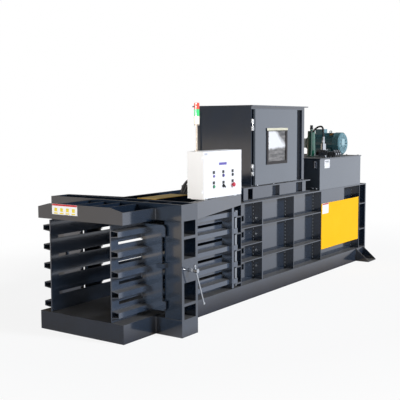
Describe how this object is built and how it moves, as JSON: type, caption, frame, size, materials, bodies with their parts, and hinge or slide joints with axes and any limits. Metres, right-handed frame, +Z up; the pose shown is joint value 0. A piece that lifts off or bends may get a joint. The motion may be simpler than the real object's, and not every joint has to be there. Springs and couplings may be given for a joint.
{
  "type": "recycling baler",
  "caption": "Horizontal recycling baler: feed hopper with a window door, ribbed press body, portal with screw-clamped outlet walls, control cabinet and hydraulic power pack.",
  "frame": {"origin": "middle of the footprint, on the floor", "axes": "+X runs from the bale outlet to the power pack, -Y is the operator's side with the cabinet and doors, +Z is up"},
  "size_m": [4.878, 1.674, 1.953],
  "materials": {
    "frame_paint": "gloss",
    "wall_paint": "gloss",
    "guard_yellow": "gloss",
    "door_paint": "satin",
    "bright_steel": "satin",
    "plated_steel": "polished",
    "window_trim": "matte",
    "clear_glass": "polished",
    "gauge_plastic": "gloss",
    "motor_paint": "gloss",
    "pump_iron": "matte",
    "valve_plastic": "matte",
    "breather_paint": "gloss",
    "hose_rubber": "matte",
    "cabinet_paint": "satin",
    "bezel_plastic": "satin",
    "green_plastic": "gloss",
    "red_plastic": "gloss",
    "violet_plastic": "gloss",
    "grey_plastic": "gloss",
    "pole_aluminium": "satin",
    "white_lens": "gloss",
    "green_lens": "gloss",
    "red_lens": "gloss"
  },
  "bodies": {
    "frame": {"base_skid": "frame_paint", "chamber_floor": "frame_paint", "outlet_plinth": "frame_paint", "portal_ring_plates": "frame_paint", "portal_webs": "frame_paint", "outlet_cap": "frame_paint", "tension_roof": "frame_paint", "roof_guard": "guard_yellow", "chamber_walls": "frame_paint", "near_side_ribs": "frame_paint", "far_side_ribs": "frame_paint", "rear_side_cover": "guard_yellow", "chamber_top": "frame_paint", "rear_bulkhead": "frame_paint", "hinge_hardware": "bright_steel", "fixed_blade": "bright_steel", "cylinder_barrel": "frame_paint", "hopper_collar": "frame_paint", "hopper_shell": "frame_paint", "oil_tank": "door_paint", "tank_lid": "frame_paint", "level_gauge": "gauge_plastic", "motor_housing": "motor_paint", "motor_fan_cowl": "motor_paint", "pump_unit": "pump_iron", "valve_manifold": "plated_steel", "solenoid_valves": "valve_plastic", "breather_tower": "breather_paint", "hydraulic_hoses": "hose_rubber", "control_cabinet": "cabinet_paint", "signal_pole": "pole_aluminium", "signal_lens_white": "white_lens", "signal_lens_green": "green_lens", "signal_lens_red": "red_lens"},
    "near_wall": {"near_wall_plate": "wall_paint", "near_wall_ribs": "wall_paint"},
    "far_wall": {"far_wall_plate": "wall_paint", "far_wall_ribs": "wall_paint"},
    "near_pad": {"near_clamp_pad": "bright_steel"},
    "far_pad": {"far_clamp_pad": "bright_steel"},
    "near_screw": {"near_clamp_screw": "plated_steel"},
    "far_screw": {"far_clamp_screw": "plated_steel"},
    "near_bar": {"near_tommy_bar": "plated_steel"},
    "far_bar": {"far_tommy_bar": "plated_steel"},
    "ram": {"ram_box": "frame_paint", "ram_wear_parts": "bright_steel", "cylinder_rod": "plated_steel"},
    "hopper_door_leaf": {"hopper_door": "door_paint", "window_frame": "window_trim", "window_glass": "clear_glass"},
    "motor_shaft": {"motor_rotor": "bright_steel"},
    "cabinet_door_leaf": {"cabinet_door": "cabinet_paint", "control_bezels": "bezel_plastic", "power_lamp": "violet_plastic"},
    "start_plunger": {"start_button": "green_plastic"},
    "selector_knob": {"mode_selector": "bezel_plastic"},
    "stop_mushroom": {"emergency_stop": "red_plastic"},
    "reset_plunger": {"reset_button": "violet_plastic"},
    "stop_plunger": {"stop_button": "grey_plastic"}
  },
  "joints": [
    {"name": "near_wall_swing", "type": "hinge", "parent": "frame", "child": "near_wall", "pos_m": [-0.701, -0.426, 0.56], "axis": [0, 0, -1], "range_deg": [0, 1.69]},
    {"name": "near_pad_feed", "type": "slide", "parent": "frame", "child": "near_pad", "axis": [0, 1, 0], "range_m": [0, 0.0363]},
    {"name": "near_screw_turn", "type": "hinge", "parent": "near_pad", "child": "near_screw", "pos_m": [-1.919, -0.817, 0.56], "axis": [0, 1, 0], "range_deg": [0, 2175]},
    {"name": "near_bar_slide", "type": "slide", "parent": "near_screw", "child": "near_bar", "axis": [0.3584, 0, -0.9336], "range_m": [-0.272, 0]},
    {"name": "far_wall_swing", "type": "hinge", "parent": "frame", "child": "far_wall", "pos_m": [-0.701, 0.426, 0.56], "axis": [0, 0, 1], "range_deg": [0, 1.69]},
    {"name": "far_pad_feed", "type": "slide", "parent": "frame", "child": "far_pad", "axis": [0, -1, 0], "range_m": [0, 0.0363]},
    {"name": "far_screw_turn", "type": "hinge", "parent": "far_pad", "child": "far_screw", "pos_m": [-1.919, 0.817, 0.56], "axis": [0, -1, 0], "range_deg": [0, 2175]},
    {"name": "far_bar_slide", "type": "slide", "parent": "far_screw", "child": "far_bar", "axis": [0.3584, 0, -0.9336], "range_m": [-0.272, 0]},
    {"name": "ram_stroke", "type": "slide", "parent": "frame", "child": "ram", "axis": [-1, 0, 0], "range_m": [0, 1.2]},
    {"name": "hopper_door_swing", "type": "hinge", "parent": "frame", "child": "hopper_door_leaf", "pos_m": [-0.241, -0.353, 1.52], "axis": [0, 0, -1], "range_deg": [0, 110]},
    {"name": "motor_spin", "type": "hinge", "parent": "frame", "child": "motor_shaft", "pos_m": [2.193, 0, 1.501], "axis": [0, 1, 0], "continuous": true},
    {"name": "cabinet_door_swing", "type": "hinge", "parent": "frame", "child": "cabinet_door_leaf", "pos_m": [-1.626, -0.676, 1.326], "axis": [0, 0, -1], "range_deg": [0, 110]},
    {"name": "start_press", "type": "slide", "parent": "cabinet_door_leaf", "child": "start_plunger", "axis": [0, 1, 0], "range_m": [0, 0.004], "stiffness_N_per_m": 600, "springref_m": -0.003},
    {"name": "reset_press", "type": "slide", "parent": "cabinet_door_leaf", "child": "reset_plunger", "axis": [0, 1, 0], "range_m": [0, 0.004], "stiffness_N_per_m": 600, "springref_m": -0.003},
    {"name": "stop_press", "type": "slide", "parent": "cabinet_door_leaf", "child": "stop_plunger", "axis": [0, 1, 0], "range_m": [0, 0.004], "stiffness_N_per_m": 600, "springref_m": -0.003},
    {"name": "emergency_press", "type": "slide", "parent": "cabinet_door_leaf", "child": "stop_mushroom", "axis": [0, 1, 0], "range_m": [0, 0.006], "stiffness_N_per_m": 800, "springref_m": -0.004},
    {"name": "selector_turn", "type": "hinge", "parent": "cabinet_door_leaf", "child": "selector_knob", "pos_m": [-1.314, -0.6904, 1.22], "axis": [0, 1, 0], "range_deg": [-45, 45]}
  ],
  "couplings": [
    {"joint": "near_pad_feed", "follows": "near_wall_swing", "m_per_rad": 1.218},
    {"joint": "near_screw_turn", "follows": "near_wall_swing", "ratio": 1275.5},
    {"joint": "far_pad_feed", "follows": "far_wall_swing", "m_per_rad": 1.218},
    {"joint": "far_screw_turn", "follows": "far_wall_swing", "ratio": 1275.5}
  ]
}
